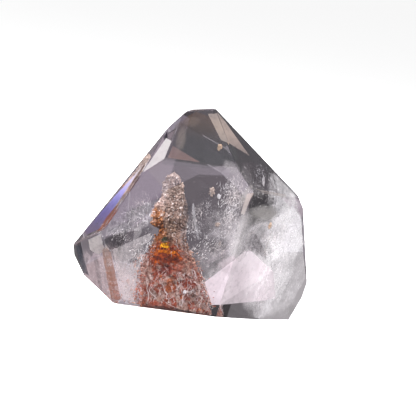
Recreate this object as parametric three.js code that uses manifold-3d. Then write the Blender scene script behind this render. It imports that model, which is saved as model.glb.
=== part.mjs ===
// Garden quartz: a clear quartz, cut and polished by hand into a many-sided freeform. Minerals grew
// inside it as a lumpy mound, the garden, which reaches down to the facet that the stone rests on.
// Millimetres, +Z up, front towards -Y. The origin lies under the middle of the stone, on that facet.

import * as THREE from 'three';
import { mergeVertices } from 'three/addons/utils/BufferGeometryUtils.js';
import Module from 'manifold-3d';

const wasm = await Module();
wasm.setup();

// ---- Driving dimensions -----------------------------------------------------------------------

// The rough block, and the thickness of what is ground off behind each facet
const ROUGH_SIZE = 60;

// Polished facets. `around` is the way a facet faces, in degrees from the front towards the right,
// `up` is how far it leans skywards, and `out` is its distance from the middle of the stone.
const FACETS = {
  restingFace: { around: 0, up: -90, out: 16 },
  frontWindow: { around: 14, up: -11, out: 10.6 },
  frontCrown: { around: 14, up: 6, out: 13 },
  leftCrown: { around: -4, up: 10, out: 15.7 },
  leftSlope: { around: -69, up: 23, out: 14.9 },
  leftUndercut: { around: -50, up: -26, out: 20 },
  rightCrown: { around: 51, up: 24, out: 13.1 },
  rightFlank: { around: 49, up: -12, out: 11.3 },
  rightRim: { around: 63, up: -11, out: 12.8 },
  rightHeel: { around: 106, up: -28, out: 24.1 },
  tip: { around: -31, up: 77, out: 17.7 },
  backRightCrown: { around: 133, up: 56, out: 9.1 },
  backRightRim: { around: 122, up: 32, out: 13.5 },
  backWall: { around: 174, up: 3, out: 13.3 },
  backCrown: { around: 171, up: 42, out: 7.5 },
  backLeftCrown: { around: -152, up: 42, out: 3.8 },
  backLeftSlope: { around: -119, up: 34, out: 6.3 },
  backLeftWall: { around: -139, up: 8, out: 8.6 },
  backLeftFlank: { around: -133, up: 12, out: 7.4 },
  backLeftUndercut: { around: -112, up: -33, out: 17.8 },
  leftHeel: { around: -100, up: -60, out: 18.5 },
};

// The garden's outline, from the resting facet up: height, the centre of the section there, and its
// radius. The mound leans left and forwards as it rises, and has a waist and a thick neck.
const MOUND = {
  outline: [
    { z: 0, x: -2.4, y: 0.5, radius: 6 },
    { z: 3.5, x: -3, y: -0.3, radius: 6 },
    { z: 5.9, x: -3.5, y: -0.9, radius: 5.3 },
    { z: 7.8, x: -3.9, y: -1.4, radius: 4.3 },
    { z: 10, x: -4.4, y: -2, radius: 2.9 },
    { z: 12.6, x: -4.5, y: -2.9, radius: 1.9 },
    { z: 15.8, x: -4.7, y: -4, radius: 2.1 },
    { z: 18.1, x: -4.8, y: -4.8, radius: 1.7 },
    { z: 19.7, x: -5.1, y: -5.5, radius: 1.5 },
    { z: 21.2, x: -5.3, y: -6.1, radius: 0.95 },
  ],
  top: 22,
  sides: 32,
  rings: 32,
  lumpHeight: 0.35,               // how far its lumps stand out or sink in
};

// The ledge that overhangs the waist on the left
const LEDGE = {
  outline: [
    { z: 13.1, x: -6.7, y: -3.1, radius: 0.9 },
    { z: 13.8, x: -6.7, y: -3.4, radius: 1.3 },
    { z: 15.6, x: -6.4, y: -4, radius: 1.4 },
    { z: 17.2, x: -6, y: -4.6, radius: 1.1 },
  ],
  top: 18.4,
  sides: 20,
  rings: 10,
  lumpHeight: 0.15,
};

// The hollow that the garden fills
const HOLLOW_GAP = 0.3;         // clearance between the garden and the clear stone
const HOLLOW_OVERRUN = 2;       // how far the cutting shape passes through the resting facet

// ---- Solids -----------------------------------------------------------------------------------

// A geometry as a manifold solid, with its shared vertices merged and its empty triangles dropped
function toSolid(geometry) {
  const bare = geometry.clone();
  bare.deleteAttribute('normal');
  bare.deleteAttribute('uv');
  const merged = mergeVertices(bare, 1e-4);
  const corners = Array.from(merged.index.array);
  const kept = [];
  for (let i = 0; i < corners.length; i += 3) {
    const [a, b, c] = corners.slice(i, i + 3);
    if (a !== b && b !== c && c !== a) kept.push(a, b, c);
  }
  return new wasm.Manifold(new wasm.Mesh({
    numProp: 3,
    vertProperties: new Float32Array(merged.attributes.position.array),
    triVerts: new Uint32Array(kept),
  }));
}

function toGeometry(solid) {
  const mesh = solid.getMesh();
  const geometry = new THREE.BufferGeometry();
  geometry.setAttribute('position', new THREE.BufferAttribute(mesh.vertProperties, 3));
  geometry.setIndex(new THREE.BufferAttribute(mesh.triVerts, 1));
  geometry.computeVertexNormals();
  return geometry;
}

// ---- The cut stone ----------------------------------------------------------------------------

// Outward direction of a facet
function facing({ around, up }) {
  const turn = THREE.MathUtils.degToRad(around);
  const lean = THREE.MathUtils.degToRad(up);
  return new THREE.Vector3(
    Math.cos(lean) * Math.sin(turn),
    -Math.cos(lean) * Math.cos(turn),
    Math.sin(lean),
  );
}

// What the wheel takes off to leave a facet: a block whose near face is the facet
function grindings(facet) {
  const outward = facing(facet);
  const block = new THREE.BoxGeometry(2 * ROUGH_SIZE, 2 * ROUGH_SIZE, ROUGH_SIZE);
  const turned = new THREE.Quaternion().setFromUnitVectors(new THREE.Vector3(0, 0, 1), outward);
  block.applyQuaternion(turned);
  block.translate(...outward.multiplyScalar(facet.out + ROUGH_SIZE / 2).toArray());
  return toSolid(block);
}

// The polished stone, standing on its resting facet over the origin
function cutStone() {
  let stone = toSolid(new THREE.BoxGeometry(ROUGH_SIZE, ROUGH_SIZE, ROUGH_SIZE));
  for (const facet of Object.values(FACETS)) {
    stone = stone.subtract(grindings(facet));
  }
  const geometry = toGeometry(stone);
  geometry.computeBoundingBox();
  const middle = geometry.boundingBox.getCenter(new THREE.Vector3());
  geometry.translate(-middle.x, -middle.y, FACETS.restingFace.out);
  return toSolid(geometry);
}

// ---- The garden -------------------------------------------------------------------------------

// Centre of a body's section at a height
function centreAt(outline, height) {
  const last = outline.length - 1;
  const level = THREE.MathUtils.clamp(height, outline[0].z, outline[last].z);
  const above = Math.max(1, outline.findIndex((station) => station.z >= level));
  const low = outline[above - 1];
  const high = outline[above];
  const part = THREE.MathUtils.smoothstep(level, low.z, high.z);
  return {
    x: THREE.MathUtils.lerp(low.x, high.x, part),
    y: THREE.MathUtils.lerp(low.y, high.y, part),
  };
}

// Lumps: three sizes of swelling that turn as they climb, fading out at the very top
function lump(turn, height, { top, lumpHeight }) {
  const big = Math.sin(3 * turn + 0.45 * height + 1);
  const middling = Math.sin(5 * turn - 0.9 * height) * Math.sin(0.8 * height + 2);
  const small = Math.sin(9 * turn + 1.7 * height) * Math.sin(2.3 * height);
  const fade = THREE.MathUtils.smoothstep(top - height, 0, 2);
  return lumpHeight * fade * (0.9 * big + 0.8 * middling + 0.7 * small);
}

// A grown body, closed: its outline turned about its own axis, with lumps, then leaned. `gap` swells
// it and `drop` lengthens it downwards, which gives the hollow that it fills.
function grown(body, gap, drop) {
  const { outline, top, sides, rings } = body;
  const foot = outline[0];
  const profile = new THREE.SplineCurve([
    ...outline.map(({ z, radius }) => new THREE.Vector2(radius, z)),
    new THREE.Vector2(0, top),
  ]).getPoints(rings).slice(0, -1).map((point) => new THREE.Vector2(point.x + gap, point.y));
  if (drop > 0) profile.unshift(new THREE.Vector2(foot.radius + gap, foot.z - drop));
  profile.unshift(new THREE.Vector2(0, foot.z - drop));
  profile.push(new THREE.Vector2(0, top + gap));

  const lathe = new THREE.LatheGeometry(profile, sides);
  lathe.rotateX(Math.PI / 2);
  const position = lathe.attributes.position;
  for (let i = 0; i < position.count; i++) {
    const height = position.getZ(i);
    const radius = Math.hypot(position.getX(i), position.getY(i));
    const turn = Math.atan2(position.getY(i), position.getX(i));
    const centre = centreAt(outline, height);
    const swollen = radius > 0.01 ? radius + lump(turn, Math.max(height, foot.z), body) : 0;
    position.setXY(i, centre.x + swollen * Math.cos(turn), centre.y + swollen * Math.sin(turn));
  }
  return toSolid(lathe);
}

function garden() {
  return grown(MOUND, 0, 0).add(grown(LEDGE, 0, 0));
}

function hollow() {
  return grown(MOUND, HOLLOW_GAP, HOLLOW_OVERRUN).add(grown(LEDGE, HOLLOW_GAP, HOLLOW_GAP));
}

// ---- Materials --------------------------------------------------------------------------------

const clearQuartz = new THREE.MeshStandardMaterial({
  color: 0xe4e0e6, roughness: 0.03, metalness: 0, transparent: true, opacity: 0.35, flatShading: true,
});
const gardenMinerals = new THREE.MeshStandardMaterial({
  color: 0x9a6a4c, roughness: 0.85, metalness: 0,
});

// ---- The part ---------------------------------------------------------------------------------

function node(name, solid, material) {
  const mesh = new THREE.Mesh(toGeometry(solid), material);
  mesh.name = name;
  return mesh;
}

const gardenQuartz = new THREE.Group();
gardenQuartz.add(node('quartz', cutStone().subtract(hollow()), clearQuartz));
gardenQuartz.add(node('garden', garden(), gardenMinerals));

export default gardenQuartz;
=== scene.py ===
import math
from contextlib import contextmanager

import bpy
import numpy as np
from mathutils import Matrix, Vector


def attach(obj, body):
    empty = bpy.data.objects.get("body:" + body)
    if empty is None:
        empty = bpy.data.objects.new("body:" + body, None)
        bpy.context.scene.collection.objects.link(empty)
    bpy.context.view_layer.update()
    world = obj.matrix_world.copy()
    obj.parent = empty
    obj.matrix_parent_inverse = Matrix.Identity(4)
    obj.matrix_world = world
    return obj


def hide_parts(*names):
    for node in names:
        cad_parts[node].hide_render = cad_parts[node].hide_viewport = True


# Garden quartz: a clear polished stone and the mound of minerals inside it. Grains and threads cover
# the mound, and crumbs, slivers, flakes, veils (healed cracks), films (flat flaws, and flat sheets of
# painted light, shade, sheen and reflections) and mists (soft clouds, and soft ovals of painted light
# and shade) lie in the clear quartz; some flakes and a crumb are painted glints. A small studio
# surrounds them. Metres throughout; MM turns millimetres into them.

MM = 0.001
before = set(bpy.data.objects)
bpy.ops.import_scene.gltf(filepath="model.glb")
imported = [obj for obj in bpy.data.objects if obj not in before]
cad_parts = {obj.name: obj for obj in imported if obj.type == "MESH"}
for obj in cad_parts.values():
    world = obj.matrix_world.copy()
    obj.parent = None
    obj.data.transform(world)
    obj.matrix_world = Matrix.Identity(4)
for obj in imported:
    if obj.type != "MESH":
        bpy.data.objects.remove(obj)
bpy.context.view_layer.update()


def new_object(name, data):
    made = bpy.data.objects.new(name, data)
    bpy.context.scene.collection.objects.link(made)
    return made


# ---- Camera ----

FRAME_WIDTH = 64 * MM       # what the render's width shows at the stone's front
CAMERA_DISTANCE = 800 * MM  # a long way off, with a long lens, so that nothing is stretched
CAMERA_ELEVATION = 3.1      # degrees, as is the roll
CAMERA_ROLL = 8.6
CAMERA_TARGET = Vector((1.24, -10.94, 16.77)) * MM
CAMERA_REACH = (0.01, 20)   # the nearest and the furthest that it sees
SENSOR_WIDTH = 36


def add_camera():
    elevation = math.radians(CAMERA_ELEVATION)
    back = Vector((0, -math.cos(elevation), math.sin(elevation)))
    level = back.to_track_quat("Z", "Y")
    roll = Matrix.Rotation(math.radians(CAMERA_ROLL), 3, back)
    turned = (roll @ level.to_matrix()).to_4x4()
    data = bpy.data.cameras.new("camera")
    data.sensor_width = SENSOR_WIDTH
    data.lens = SENSOR_WIDTH * CAMERA_DISTANCE / FRAME_WIDTH
    data.clip_start, data.clip_end = CAMERA_REACH
    camera = new_object("camera", data)
    camera.matrix_world = Matrix.Translation(CAMERA_TARGET + back * CAMERA_DISTANCE) @ turned
    bpy.context.scene.camera = camera


# ---- Shader maths ----

def operator(operation):
    """Adds this kind of Math node for a number and what follows it."""
    return lambda number, other: number.shader.maths(operation, number, other)


def reflected(operation):
    """The same, for what comes before the number."""
    return lambda number, other: number.shader.maths(operation, other, number)


class Number:
    """A socket that holds a number, with the operators of arithmetic."""

    def __init__(self, shader, socket):
        self.shader = shader
        self.socket = socket

    __add__, __radd__ = operator("ADD"), reflected("ADD")
    __sub__, __rsub__ = operator("SUBTRACT"), reflected("SUBTRACT")
    __mul__, __rmul__ = operator("MULTIPLY"), reflected("MULTIPLY")
    __truediv__, __rtruediv__ = operator("DIVIDE"), reflected("DIVIDE")
    up_to = operator("MAXIMUM")

    def exp(self):
        return self.shader.maths("EXPONENT", self)

    def over(self, low, high):
        """0 up to low, 1 from high on, and a smooth rise between."""
        return self.shader.number("MapRange", 0, {"interpolation_type": "SMOOTHSTEP"}, {
            "Value": self, "From Min": low, "From Max": high,
        })


class Shader:
    """A node tree being written, for a material or the world."""

    def __init__(self, tree, material=None):
        self.tree = tree
        self.material = material
        tree.nodes.clear()

    def node(self, kind, settings=None, sockets=None):
        made = self.tree.nodes.new("ShaderNode" + kind)
        for name, value in (settings or {}).items():
            setattr(made, name, value)
        for name, value in (sockets or {}).items():
            socket = made.inputs[name]
            value = value.socket if isinstance(value, Number) else value
            if isinstance(value, bpy.types.NodeSocket):
                self.tree.links.new(value, socket)
            elif socket.type == "RGBA":
                socket.default_value = (*value, 1)
            else:
                socket.default_value = value
        return made

    def number(self, kind, output, settings=None, sockets=None):
        return Number(self, self.node(kind, settings, sockets).outputs[output])

    def maths(self, operation, *values):
        return self.number("Math", 0, {"operation": operation}, dict(enumerate(values)))

    def vector(self, operation, *values):
        """A vector operation's outputs: a vector, then a number."""
        return self.node("VectorMath", {"operation": operation}, dict(enumerate(values))).outputs

    def place(self):
        """The piece's own coordinates, in metres."""
        return self.node("TexCoord").outputs["Object"]

    def along(self, axis):
        return self.number("SeparateXYZ", axis, {}, {0: self.place()})

    def drawn_out(self, lengths, turn):
        """The piece's own coordinates, turned and drawn out, for patterns that run one way."""
        return self.node("Mapping", {"vector_type": "TEXTURE"}, {
            "Vector": self.place(), "Scale": lengths, "Rotation": turn,
        }).outputs[0]

    def noise(self, size, seed, detail=4, rough=0.6, vector=None):
        """Clouds about this many millimetres across, from 0 to 1."""
        return self.number("TexNoise", "Fac", {"noise_dimensions": "4D"}, {
            "Vector": vector or self.place(), "W": seed, "Scale": 1 / (size * MM),
            "Detail": detail, "Roughness": rough,
        })

    def attribute(self, name):
        return self.number("Attribute", "Fac", {"attribute_name": name})

    def patch(self, middle, half, ragged):
        """1 inside an ellipsoid, in millimetres, and 0 outside its ragged rim."""
        offset = self.vector("SUBTRACT", self.place(), Vector(middle) * MM)[0]
        scaled = self.vector("DIVIDE", offset, Vector(half) * MM)[0]
        distance = Number(self, self.vector("LENGTH", scaled)[1])
        return 1 - (distance + ragged).over(0.75, 1.1)

    def ramp(self, factor, stops):
        made = self.node("ValToRGB", {}, {"Fac": factor})
        elements = made.color_ramp.elements
        while len(elements) < len(stops):
            elements.new(1)
        for element, (place, colour) in zip(elements, stops):
            element.position = place
            element.color = (*colour, 1)
        return made.outputs["Color"]

    def mix(self, factor, first, second, blend="MIX"):
        """Between two colours."""
        return self.node("Mix", {"data_type": "RGBA", "blend_type": blend}, {
            "Factor": factor, 6: first, 7: second,
        }).outputs[2]

    def principled(self, sockets):
        return self.finish(self.node("BsdfPrincipled", {}, sockets).outputs[0])

    def finish(self, surface, volume=None):
        """Ends the tree with a surface, and gives the material."""
        out = self.node("OutputMaterial", {}, {"Surface": surface})
        if volume:
            self.tree.links.new(volume, out.inputs["Volume"])
        return self.material


def new_material(name):
    """A new material's shader."""
    material = bpy.data.materials.new(name)
    material.use_nodes = True
    return Shader(material.node_tree, material)


# ---- Finishes ----

QUARTZ_IOR = 1.544
QUARTZ_FACE = (0.985, 0.98, 0.99)   # what the polished faces let through
QUARTZ_BODY = (0.8, 0.76, 0.86)     # the tint that builds up inside
QUARTZ_ABSORPTION = 12
QUARTZ_SHADOW = (0.93, 0.92, 0.94)  # what the stone leaves of the lamps' light


def clear_quartz():
    """Polished clear quartz with the faintest lilac tint. Lamps shine through it onto the garden."""
    shader = new_material("clear_quartz")
    glass = shader.node("BsdfPrincipled", {}, {
        "Base Color": QUARTZ_FACE, "Roughness": 0, "IOR": QUARTZ_IOR, "Transmission Weight": 1,
    })
    opening = shader.node("BsdfTransparent", {}, {"Color": QUARTZ_SHADOW})
    path = shader.node("LightPath")
    both = shader.node("MixShader", {}, {
        0: path.outputs["Is Shadow Ray"], 1: glass.outputs[0], 2: opening.outputs[0],
    })
    body = shader.node("VolumeAbsorption", {}, {"Color": QUARTZ_BODY, "Density": QUARTZ_ABSORPTION})
    return shader.finish(both.outputs[0], body.outputs[0])


# Patches of colour in the garden: middle and half size in millimetres, colour, and strength
GARDEN_PATCHES = {
    "ochre_ledge": ((-7.4, -4.2, 14.4), (1.7, 3, 2.2), (0.72, 0.29, 0.1), 0.9),
    "ledge_snow": ((-6.9, -4.6, 17.6), (1.8, 3, 1.5), (0.94, 0.74, 0.67), 0.9),
    "left_rim_snow": ((-6.3, -4.6, 19.3), (0.5, 3, 1.6), (1, 0.88, 0.84), 0.9),
    "ochre_waist": ((-6.2, -3.6, 12), (1.3, 3, 1.7), (0.62, 0.21, 0.05), 0.9),
    "olive_waist": ((-4.6, -4.2, 13.2), (1, 3, 2), (0.34, 0.21, 0.12), 0.5),
    "rust_band": ((-5, -3.6, 8.9), (4.2, 4, 2.1), (0.27, 0.035, 0.008), 0.95),
    "orange_left": ((-6.8, -4.4, 9.3), (1.2, 2, 1.1), (0.62, 0.15, 0.015), 0.7),
    "orange_arc": ((-4.6, -5, 9.3), (1.8, 2, 0.3), (1, 0.3, 0.012), 0.8),
    "yellow_spot": ((-5, -4.7, 10.3), (0.8, 1.6, 0.5), (1, 0.52, 0.01), 1),
    "green_spot": ((-5.3, -4.5, 11.2), (0.8, 1.6, 0.45), (0.04, 0.08, 0.045), 0.95),
    # painted shade, brown, in the hollow right of the green spot
    "brown_hollow_shade": ((-4.4, -4.5, 11.1), (0.5, 1.6, 0.9), (0.14, 0.06, 0.03), 0.8),
    "grey_side": ((-1.6, -4.5, 12.4), (1.5, 3, 3.6), (0.5, 0.44, 0.43), 0.7),
    "dark_red": ((-4.3, -5.6, 6.4), (1.1, 3, 0.9), (0.28, 0.03, 0.02), 0.8),
    "low_orange": ((-3.1, -6.3, 4.2), (0.8, 3, 1.5), (0.7, 0.18, 0.04), 0.7),
    "left_red": ((-7.5, -3.2, 3.2), (1.1, 3, 0.5), (0.42, 0.07, 0.03), 0.7),
    "right_red": ((-0.3, -5.4, 4.6), (1.2, 3, 0.9), (0.4, 0.07, 0.04), 0.7),
    "foot_red": ((-4.2, -5, 0.5), (2.6, 4, 0.7), (0.38, 0.1, 0.06), 0.6),
    "foot_left": ((-7.4, -3.7, 0.9), (1, 3, 0.6), (0.4, 0.09, 0.03), 0.8),
}

COLOUR_TOP = 22 * MM  # the height where the garden's colours have run from foot to knob


def garden_minerals():
    """Sandy pinkish beige at the knob, ochre at the ledge and waist, a rust band with an orange and a
    green spot, and a pink felt mottled with rust below."""
    shader = new_material("garden_minerals")
    height = shader.along("Z") / COLOUR_TOP
    drift = shader.noise(2.2, 2, 3, 0.5) - 0.5
    base = shader.ramp(height + drift * 0.08, [
        (0, (0.6, 0.4, 0.34)), (0.33, (0.54, 0.33, 0.27)), (0.47, (0.52, 0.3, 0.21)),
        (0.62, (0.66, 0.47, 0.385)), (0.8, (0.74, 0.57, 0.49)), (1, (0.85, 0.69, 0.61)),
    ])
    low = 1 - height.over(0.28, 0.4)
    rust = shader.noise(1.3, 9).over(0.47, 0.55)
    base = shader.mix(rust * low * 0.9, base, (0.46, 0.085, 0.035))
    embers = shader.noise(0.9, 15, 3).over(0.6, 0.68)
    base = shader.mix(embers * low * 0.8, base, (0.75, 0.24, 0.07))
    felt = shader.noise(1, 5).over(0.54, 0.64)
    base = shader.mix(felt * low * 0.8, base, (0.8, 0.66, 0.6))
    ragged = (shader.noise(0.6, 12) - 0.5) * 2.2
    for middle, half, colour, strength in GARDEN_PATCHES.values():
        base = shader.mix(shader.patch(middle, half, ragged) * strength, base, colour)
    fire = shader.noise(0.55, 17, 3).over(0.52, 0.6)
    fire = fire * shader.patch((-5, -3.8, 9), (3.6, 4, 1.9), ragged)
    base = shader.mix(fire * 0.85, base, (0.8, 0.17, 0.008))
    # Painted shade: a fine noise darkens the colour as if in the gaps between grains, less so higher up.
    painted_gap_shade = 1 - shader.noise(0.38, 3, 3).over(0.4, 0.54)
    painted_gap_shade = painted_gap_shade * (0.8 - height.over(0.4, 0.55) * 0.4)
    base = shader.mix(painted_gap_shade, base, (0.42, 0.34, 0.32), "MULTIPLY")
    tone = shader.attribute("grain_tone")
    shade = shader.ramp(tone, [
        (0, (0.28, 0.25, 0.24)), (0.35, (0.55, 0.53, 0.52)), (0.75, (0.7, 0.69, 0.68)),
        (1, (0.98, 0.98, 0.98)),
    ])
    colour = shader.mix(1, base, shade, "MULTIPLY")
    # Painted glints: the lightest grains in the upper garden are turned near white, as if catching the
    # light.
    painted_glints = tone.over(0.91, 0.93) * height.over(0.45, 0.75)
    colour = shader.mix(painted_glints * 0.8, colour, (1, 0.93, 0.9))
    return shader.principled({"Base Color": colour, "Roughness": 0.55, "IOR": 1.5})


def pale_felt():
    """Whitish pink mineral threads."""
    shader = new_material("pale_felt")
    tint = shader.ramp(shader.noise(1.5, 8, 3, 0.5), [
        (0.35, (0.62, 0.47, 0.44)), (0.6, (0.86, 0.77, 0.76)),
    ])
    return shader.principled({"Base Color": tint, "Roughness": 0.6, "Alpha": 0.85})


def pale_needles():
    """Whitish slivers and crumbs that let some light through."""
    shader = new_material("pale_needles")
    tint = shader.ramp(shader.noise(4, 3, 2, 0.5), [
        (0.35, (0.62, 0.61, 0.63)), (0.65, (0.66, 0.6, 0.58)),
    ])
    return shader.principled({"Base Color": tint, "Roughness": 0.5, "Alpha": 0.55})


def plain_finish(name, colour):
    return new_material(name).principled({"Base Color": colour, "Roughness": 0.5})


# Milky places in the clear quartz: middle and half size in millimetres, and strength
MILKY_PLACES = {
    "right_rim": ((15, 5, 11.5), (6.5, 11, 11.5), 0.42),
    "right_side": ((12, 3, 13.5), (4, 7, 5.4), 0.42),
    "right_shoulder": ((13.4, 1, 17.8), (3.2, 5, 2.4), 0.36),
    "under_the_dark": ((9.8, 0, 15.4), (3.4, 5, 2), 0.36),
    "right_foot": ((12, 3, 6.5), (5.8, 8, 6.5), 0.36),
    "right_crown": ((11.2, -1.5, 20.6), (3.2, 3.5, 2.8), 0.3),
    "grey_middle": ((8, 1.5, 12.2), (4.2, 5, 4.8), 0.36),
    "along_the_edge": ((4.9, -7, 20.2), (1.7, 2.2, 3.8), 0.13),
    "middle": ((4.2, -4.5, 14.2), (3.8, 4, 3.6), 0.14),
    "under_middle": ((3.2, -4, 9), (3.6, 4, 3.6), 0.1),
    "pink_foot": ((4, -5, 5.4), (2.4, 3, 3.2), 0.3),
    "left_foot": ((-11.2, -5, 3), (3.9, 6, 3.4), 0.13),
    "left_edge": ((-14, -6.5, 5), (3, 4.5, 4.2), 0.3),
}
VEIL_TINT_HALF = 18 * MM  # the veils' tint runs this far to the left and the right


def streaks_and_specks(shader):
    """From 0 to 1: fine upright streaks with specks between them, all much deeper than wide."""
    upright = shader.drawn_out((1, 9, 2.6), (0, -0.12, 0.36))
    streaks = shader.noise(0.42, 4, 4, 0.7, upright).over(0.42, 0.58)
    deep = shader.drawn_out((1, 10, 1.1), (0, 0, 0.36))
    specks = shader.noise(0.24, 8, 2, 0.7, deep).over(0.42, 0.58)
    return streaks * 0.5 + specks * 0.5


def broken_up(shader, broken):
    """What is left of a whole cover when this share of it is broken up."""
    return streaks_and_specks(shader) * broken + (1 - broken)


def veil_white():
    """A healed crack: whitish streaks and specks with clear quartz between them, densest in the
    milky places."""
    shader = new_material("veil_white")
    billow = (shader.noise(2.6, 1) - 0.5) * 0.7
    milk = shader.number("Value", 0)
    for middle, half, strength in MILKY_PLACES.values():
        milk = milk.up_to(shader.patch(middle, half, billow) * strength)
    mottle = shader.noise(1.6, 7).over(0.3, 0.66)
    cover = milk * (mottle * 0.3 + streaks_and_specks(shader) * 0.8)
    across = (shader.along("X") + VEIL_TINT_HALF) / (2 * VEIL_TINT_HALF)
    tint = shader.ramp(across, [
        (0.25, (0.6, 0.5, 0.51)), (0.55, (0.54, 0.51, 0.52)), (0.8, (0.62, 0.61, 0.605)),
    ])
    return shader.principled({"Base Color": tint, "Roughness": 0.6, "Alpha": cover})


def film_finish(name, corners, colours, cover, broken):
    """A thin film in the quartz, for flaws and for painted light, shade, sheen and reflections: colours
    from its foot to its top, how much it covers, and how far it's broken up into streaks and specks."""
    shader = new_material(name)
    heights = [corner[2] for corner in corners]
    foot, top = min(heights), max(heights)
    height = (shader.along("Z") - foot * MM) / ((top - foot) * MM)
    wavering = height + (shader.noise(1.2, 6, 3, 0.5) - 0.5) * 0.15
    tint = shader.ramp(wavering, [(i / (len(colours) - 1), c) for i, c in enumerate(colours)])
    mottle = shader.noise(0.7, 11).over(0.25, 0.55)
    return shader.principled({
        "Base Color": tint, "Roughness": 0.5,
        "Alpha": (mottle * 0.3 + 0.7) * broken_up(shader, broken) * cover,
    })


def mist_finish(name, colour, cover, broken):
    """A thin oval in the quartz that fades out towards its rim, for clouds and for painted light and
    shade.
    """
    shader = new_material(name)
    rim = shader.attribute("rim")
    billow = (shader.noise(1.1, 14) - 0.5) * 0.6
    fade = 1 - (rim + billow).over(0.45, 1)
    return shader.principled({
        "Base Color": colour, "Roughness": 0.6,
        "Alpha": fade * broken_up(shader, broken) * cover,
    })


def pale_floor():
    return new_material("pale_floor").principled({
        "Base Color": (0.93, 0.93, 0.93), "Roughness": 0.9, "Specular IOR Level": 0,
    })


# ---- Modelling ----

MERGE_DISTANCE = 0.001 * MM  # corners nearer than this are one corner


def select(piece):
    bpy.ops.object.select_all(action="DESELECT")
    bpy.context.view_layer.objects.active = piece
    piece.select_set(True)


@contextmanager
def editing(piece):
    """Edit mode on one piece, with everything in it selected."""
    select(piece)
    bpy.ops.object.mode_set(mode="EDIT")
    bpy.ops.mesh.select_mode(type="VERT")
    bpy.ops.mesh.select_all(action="SELECT")
    yield
    bpy.ops.object.mode_set(mode="OBJECT")


def apply_modifier(piece, name, kind, **settings):
    select(piece)
    modifier = piece.modifiers.new(name, kind)
    for key, value in settings.items():
        setattr(modifier, key, value)
    bpy.ops.object.modifier_apply(modifier=name)


def push_by_clouds(piece, name, size, strength, level=0.5):
    """Moves a piece's surface in and out by clouds of this size."""
    clouds = bpy.data.textures.new(name, "CLOUDS")
    clouds.noise_scale = size
    apply_modifier(piece, name, "DISPLACE", texture=clouds, texture_coords="LOCAL",
                   strength=strength, mid_level=level)


def copy_of_node(node, name):
    """The CAD node's mesh as a new piece, with its loose triangles joined up."""
    piece = new_object(name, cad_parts[node].data.copy())
    piece.data.name = name
    with editing(piece):
        bpy.ops.mesh.remove_doubles(threshold=MERGE_DISTANCE)
    return piece


def just_added(name):
    """The primitive that was just added, under its own name."""
    piece = bpy.context.active_object
    piece.name = piece.data.name = name
    return piece


def dress(piece, material, slot, *nodes):
    piece.data.materials.clear()
    piece.data.materials.append(material)
    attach(piece, "root")
    if nodes:
        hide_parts(*nodes)


def add_to_garden(piece, material, *nodes):
    """Dresses a piece of the garden, which isn't mirrored in the facets."""
    dress(piece, material, "garden_minerals", *nodes)
    piece.visible_glossy = False


def set_in_quartz(piece, material):
    """Dresses a flaw, a painted glint or a sheet of painted light and shade in the clear quartz, which
    casts no shadow and isn't mirrored in the facets.
    """
    dress(piece, material, "clear_quartz")
    piece.visible_shadow = False
    piece.visible_glossy = False


def set_values(mesh, name, values):
    """Gives a mesh a named number at each of its points."""
    layer = mesh.attributes.new(name, "FLOAT", "POINT")
    layer.data.foreach_set("value", np.asarray(values, np.float32))


def joined_mesh(name, shape_points, shape_faces, places, turns, sizes):
    """Many copies of one small shape as a single mesh. places, turns (3 by 3) and sizes (3 each)
    have one entry a copy."""
    count, corners = len(places), len(shape_points)
    scaled = shape_points[None] * sizes[:, None, :]
    points = np.einsum("nij,nkj->nki", turns, scaled) + places[:, None, :]
    faces = shape_faces[None] + (np.arange(count) * corners)[:, None, None]
    faces = faces.reshape(-1, shape_faces.shape[1])
    mesh = bpy.data.meshes.new(name)
    mesh.from_pydata(points.reshape(-1, 3).tolist(), [], faces.tolist())
    mesh.update()
    return new_object(name, mesh)


def random_turns(count, rng):
    """Evenly spread rotation matrices."""
    q = rng.standard_normal((count, 4))
    w, x, y, z = (q / np.linalg.norm(q, axis=1)[:, None]).T
    return np.stack([
        1 - 2 * (y * y + z * z), 2 * (x * y - w * z), 2 * (x * z + w * y),
        2 * (x * y + w * z), 1 - 2 * (x * x + z * z), 2 * (y * z - w * x),
        2 * (x * z - w * y), 2 * (y * z + w * x), 1 - 2 * (x * x + y * y),
    ], axis=1).reshape(-1, 3, 3)


def primitive_shape():
    """The points and faces of the primitive that was just added, which is then taken away."""
    made = bpy.context.active_object
    points = np.array([v.co for v in made.data.vertices])
    faces = np.array([list(p.vertices) for p in made.data.polygons])
    bpy.data.objects.remove(made)
    return points, faces


# ---- The clear stone ----

EDGE_WIDTH = 0.12 * MM
FLAT_WITHIN = math.radians(1)  # triangles that turn less than this are one facet
EDGE_FROM = math.radians(2)    # and facets that turn more than this meet in an edge


def clear_stone():
    """The polished stone with its hollow closed, and a fine polished edge between facets."""
    stone = copy_of_node("quartz", "clear_stone")
    with editing(stone):
        bpy.ops.mesh.convex_hull()
        bpy.ops.mesh.dissolve_limited(angle_limit=FLAT_WITHIN)
        bpy.ops.mesh.normals_make_consistent(inside=False)
    facets = [(p.center.copy(), p.normal.copy()) for p in stone.data.polygons]
    apply_modifier(stone, "edges", "BEVEL", width=EDGE_WIDTH, segments=2, limit_method="ANGLE",
                   angle_limit=EDGE_FROM, harden_normals=False)
    return stone, facets


def depth_inside(points, facets):
    """How far each point lies inside the nearest facet."""
    centres, normals = (np.array(parts) for parts in zip(*facets))
    return ((centres[None] - points[:, None]) * normals[None]).sum(2).min(1)


# ---- The garden ----

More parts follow.
